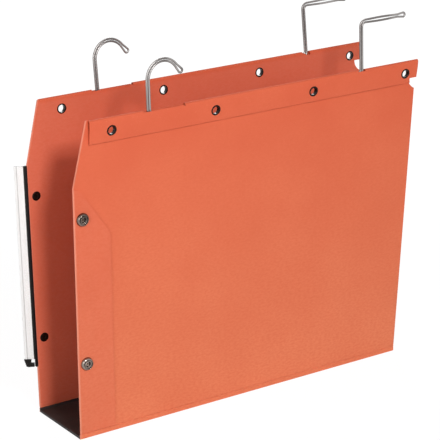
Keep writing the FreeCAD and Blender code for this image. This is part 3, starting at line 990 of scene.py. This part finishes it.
# ---- base
def add_base():
    """Black floor with a low lip under each panel."""
    inner_low = card + lip_thickness
    inner_high = base_width - inner_low
    section = [(card, 0), (base_width - card, 0), (base_width - card, lip_height),
               (inner_high, lip_height), (inner_high, floor_thickness),
               (inner_low, floor_thickness), (inner_low, lip_height), (card, lip_height)]
    # the section's width and height become the folder's Y and Z, and its prism runs along X
    lengthwise = Matrix(((0, 0, 1, 0), (1, 0, 0, 0), (0, 1, 0, 0), (0, 0, 0, 1)))
    add_piece("moulded_base", prism(section, 0, length, base_edge, lengthwise), to_frame, "base",
              "black_base", "base_tray")


# ---- label holder
def box_outline(low, high, out_low, out_high):
    """Outline of a rectangle on the wing, for a prism."""
    return [(low, out_low), (high, out_low), (high, out_high), (low, out_high)]


def rail():
    """Black channel gripping the folded edge, and the wing behind the label."""
    inner = base_width - card
    outer = base_width + card
    back = -rail_edge_gap - rail_web
    outline = [(rail_inner_leg, inner - rail_wall), (back, inner - rail_wall),
               (back, outer + rail_wall), (rail_outer_leg, outer + rail_wall),
               (rail_outer_leg, outer), (-rail_edge_gap, outer), (-rail_edge_gap, inner),
               (rail_inner_leg, inner)]
    half = wing_thickness / 2
    wing = prism(box_outline(-rail_web / 2, wing_width, -half, half), label_bottom, label_top,
                 wing_edge, slanted)
    return join(prism(outline[::-1], rail_bottom, label_top, rail_edge), wing)


def window():
    """Clear cover, hooked round the wing's outer edge."""
    face = wing_thickness / 2
    cover_in = face + strip_thickness + 2 * strip_gap
    cover_out = cover_in + window_wall
    edge_in = wing_width + window_edge
    edge_out = edge_in + window_wall
    back_in = -face - window_edge / 2
    back_out = back_in - window_wall
    outline = [(window_start, face), (window_start + window_wall, face),
               (window_start + window_wall, cover_in), (edge_in, cover_in), (edge_in, back_in),
               (edge_in - window_lip, back_in), (edge_in - window_lip, back_out),
               (edge_out, back_out), (edge_out, cover_out), (window_start, cover_out)]
    return prism(outline, label_bottom, label_top, window_softness, slanted)


def strip():
    """Paper label behind the window."""
    low = wing_thickness / 2 + strip_gap
    start = window_start + window_wall + strip_side_gap
    end = wing_width + window_edge - strip_side_gap
    return prism(box_outline(start, end, low, low + strip_thickness),
                 label_bottom + strip_foot_gap, label_top, strip_edge, slanted)


def rib_outlines():
    """Height and outline of the ribbed block's rings, from its foot up; it tapers to its foot."""
    pitch = (label_bottom - rail_bottom) / ribs
    for rib in range(ribs):
        for share, inset in rib_profile:
            narrowing = foot_block_taper * (1 - (rib + share) / ribs)
            start = foot_block_start + inset + narrowing * foot_taper_share
            end = foot_block_end - inset - narrowing
            side = foot_block_thickness / 2 - inset
            bend = end - foot_block_chamfer
            flat = side - foot_block_chamfer
            yield rail_bottom + (rib + share) * pitch, (
                (start, -side), (bend, -side), (end, -flat), (end, flat), (bend, side),
                (start, side))


def grip_block():
    """Arm from the rail and the ribbed block that closes the window's lower end."""
    half_arm = foot_arm_thickness / 2
    arm = prism(box_outline(foot_arm_start, foot_block_start + foot_overlap, -half_arm, half_arm),
                rail_bottom, rail_bottom + foot_arm_height, arm_edge, slanted)
    shape = bmesh.new()
    rings = [[shape.verts.new((x, y, z)) for x, y in outline] for z, outline in rib_outlines()]
    for low, high in zip(rings, rings[1:]):
        for place in range(len(low)):
            shape.faces.new((low[place - 1], low[place], high[place], high[place - 1]))
    shape.faces.new(rings[0][::-1])
    shape.faces.new(rings[-1])
    bmesh.ops.transform(shape, matrix=slanted, verts=shape.verts)
    return join(shape, arm)


def add_label_holder():
    """Rail, window and grip block ride on the rear panel; the paper label slides on its own."""
    for name, shape, body, slot, node in (
            ("label_channel", rail(), "rear_panel", "black_rail", "label_rail"),
            ("label_cover", window(), "rear_panel", "clear_window", "label_window"),
            ("label_insert", strip(), "label", "label_paper", "label_strip"),
            ("label_grip", grip_block(), "rear_panel", "black_rail", "label_foot")):
        add_piece(name, shape, holder_place, body, slot, node)


# ---- camera, floor and light
def add_camera():
    """A long lens looking from the front, left of the folder and a little above it."""
    camera = bpy.data.objects.new("camera", bpy.data.cameras.new("camera"))
    camera.data.lens = lens
    camera.data.sensor_width = sensor_width
    backward = camera_right.cross(camera_up)
    turn = Matrix((camera_right, camera_up, backward)).transposed()
    camera.matrix_world = Matrix.Translation(camera_place) @ turn.to_4x4()
    bpy.context.scene.collection.objects.link(camera)
    bpy.context.scene.camera = camera


def seen_directly(tree):
    """1 for rays from the camera, off shiny surfaces and through clear ones, 0 for the rest."""
    path = add(tree, "ShaderNodeLightPath")
    shiny = add(tree, "ShaderNodeMath", operation="MAXIMUM",
                links={0: path.outputs["Is Camera Ray"], 1: path.outputs["Is Glossy Ray"]})
    return add(tree, "ShaderNodeMath", operation="MAXIMUM",
               links={0: shiny.outputs[0], 1: path.outputs["Is Transmission Ray"]}).outputs[0]


def add_floor():
    """White paper floor with a faint shadow near the folder; further off it is plain white."""
    material, tree, position = new_material("white_floor_paper")
    paper = add(tree, "ShaderNodeBsdfPrincipled",
                {"Base Color": linear("#F4F4F4"), "Roughness": 0.9, "Specular IOR Level": 0.1})
    glow = add(tree, "ShaderNodeEmission", {"Color": (1, 1, 1, 1), "Strength": floor_glow})
    away = add(tree, "ShaderNodeVectorMath", links={0: position}, operation="LENGTH")
    fade = ramp(tree, away.outputs["Value"], glow_start, glow_end, glow_near, 1.0)
    share = add(tree, "ShaderNodeMath", links={0: seen_directly(tree), 1: fade},
                operation="MULTIPLY")
    shader = add(tree, "ShaderNodeMixShader", links={0: share.outputs[0], 1: paper.outputs[0],
                                                     2: glow.outputs[0]})
    finish_material(tree, shader)
    shape = bmesh.new()
    bmesh.ops.create_grid(shape, x_segments=1, y_segments=1, size=floor_half_width)
    mesh = bpy.data.meshes.new("floor")
    shape.to_mesh(mesh)
    shape.free()
    mesh.materials.append(material)
    floor = bpy.data.objects.new("floor", mesh)
    bpy.context.scene.collection.objects.link(floor)


def add_world():
    """White all round where it is seen, and a weak even light for the folder."""
    world = bpy.data.worlds.new("studio")
    world.use_nodes = True
    tree = world.node_tree
    tree.nodes.clear()
    strength = ramp(tree, seen_directly(tree), 0.0, 1.0, fill_light, 1.0)
    sky = add(tree, "ShaderNodeBackground", {"Color": (1, 1, 1, 1)}, {"Strength": strength})
    add(tree, "ShaderNodeOutputWorld", links={"Surface": sky.outputs[0]})
    bpy.context.scene.world = world


def add_lamp(name, place, target, width, power):
    """A square soft box that faces a point."""
    lamp = bpy.data.objects.new(name, bpy.data.lights.new(name, "AREA"))
    lamp.data.size = width
    lamp.data.energy = power
    lamp.location = place
    lamp.rotation_euler = (Vector(target) - Vector(place)).to_track_quat("-Z", "Y").to_euler()
    bpy.context.scene.collection.objects.link(lamp)


def add_studio():
    """Camera, floor, surroundings and lamps."""
    bpy.context.scene.view_settings.view_transform = "Standard"
    add_camera()
    add_floor()
    add_world()
    for name, (place, target, width, power) in lamps.items():
        add_lamp(name, place, target, width, power)


# ---- the whole scene
materials = {
    "coral_card": dyed_pressboard(),
    "black_base": moulded_plastic("black_moulded_base", "#2A2220", "#352C2A", 0.48, 0.5),
    "steel_wire": plated_metal("zinc_plated_wire", "#A09C9A", "#7B7674", 0.38, (1, 1, 0.3)),
    "black_eyelet": black_lacquer(),
    "gunmetal": plated_metal("gunmetal_plate", "#685D56", "#93877F", 0.15, (1, 1, 1)),
    "spring_steel": plated_metal("spring_steel_ring", "#9A9895", "#7C7977", 0.3, (1, 1, 1)),
    "black_rail": moulded_plastic("black_extruded_rail", "#0B0605", "#120C0A", 0.6, 0.4),
    "clear_window": clear_film(),
    "label_paper": label_stock(),
}
add_base()
add_card_panels()
add_hangers()
add_hardware()
add_label_holder()
add_studio()
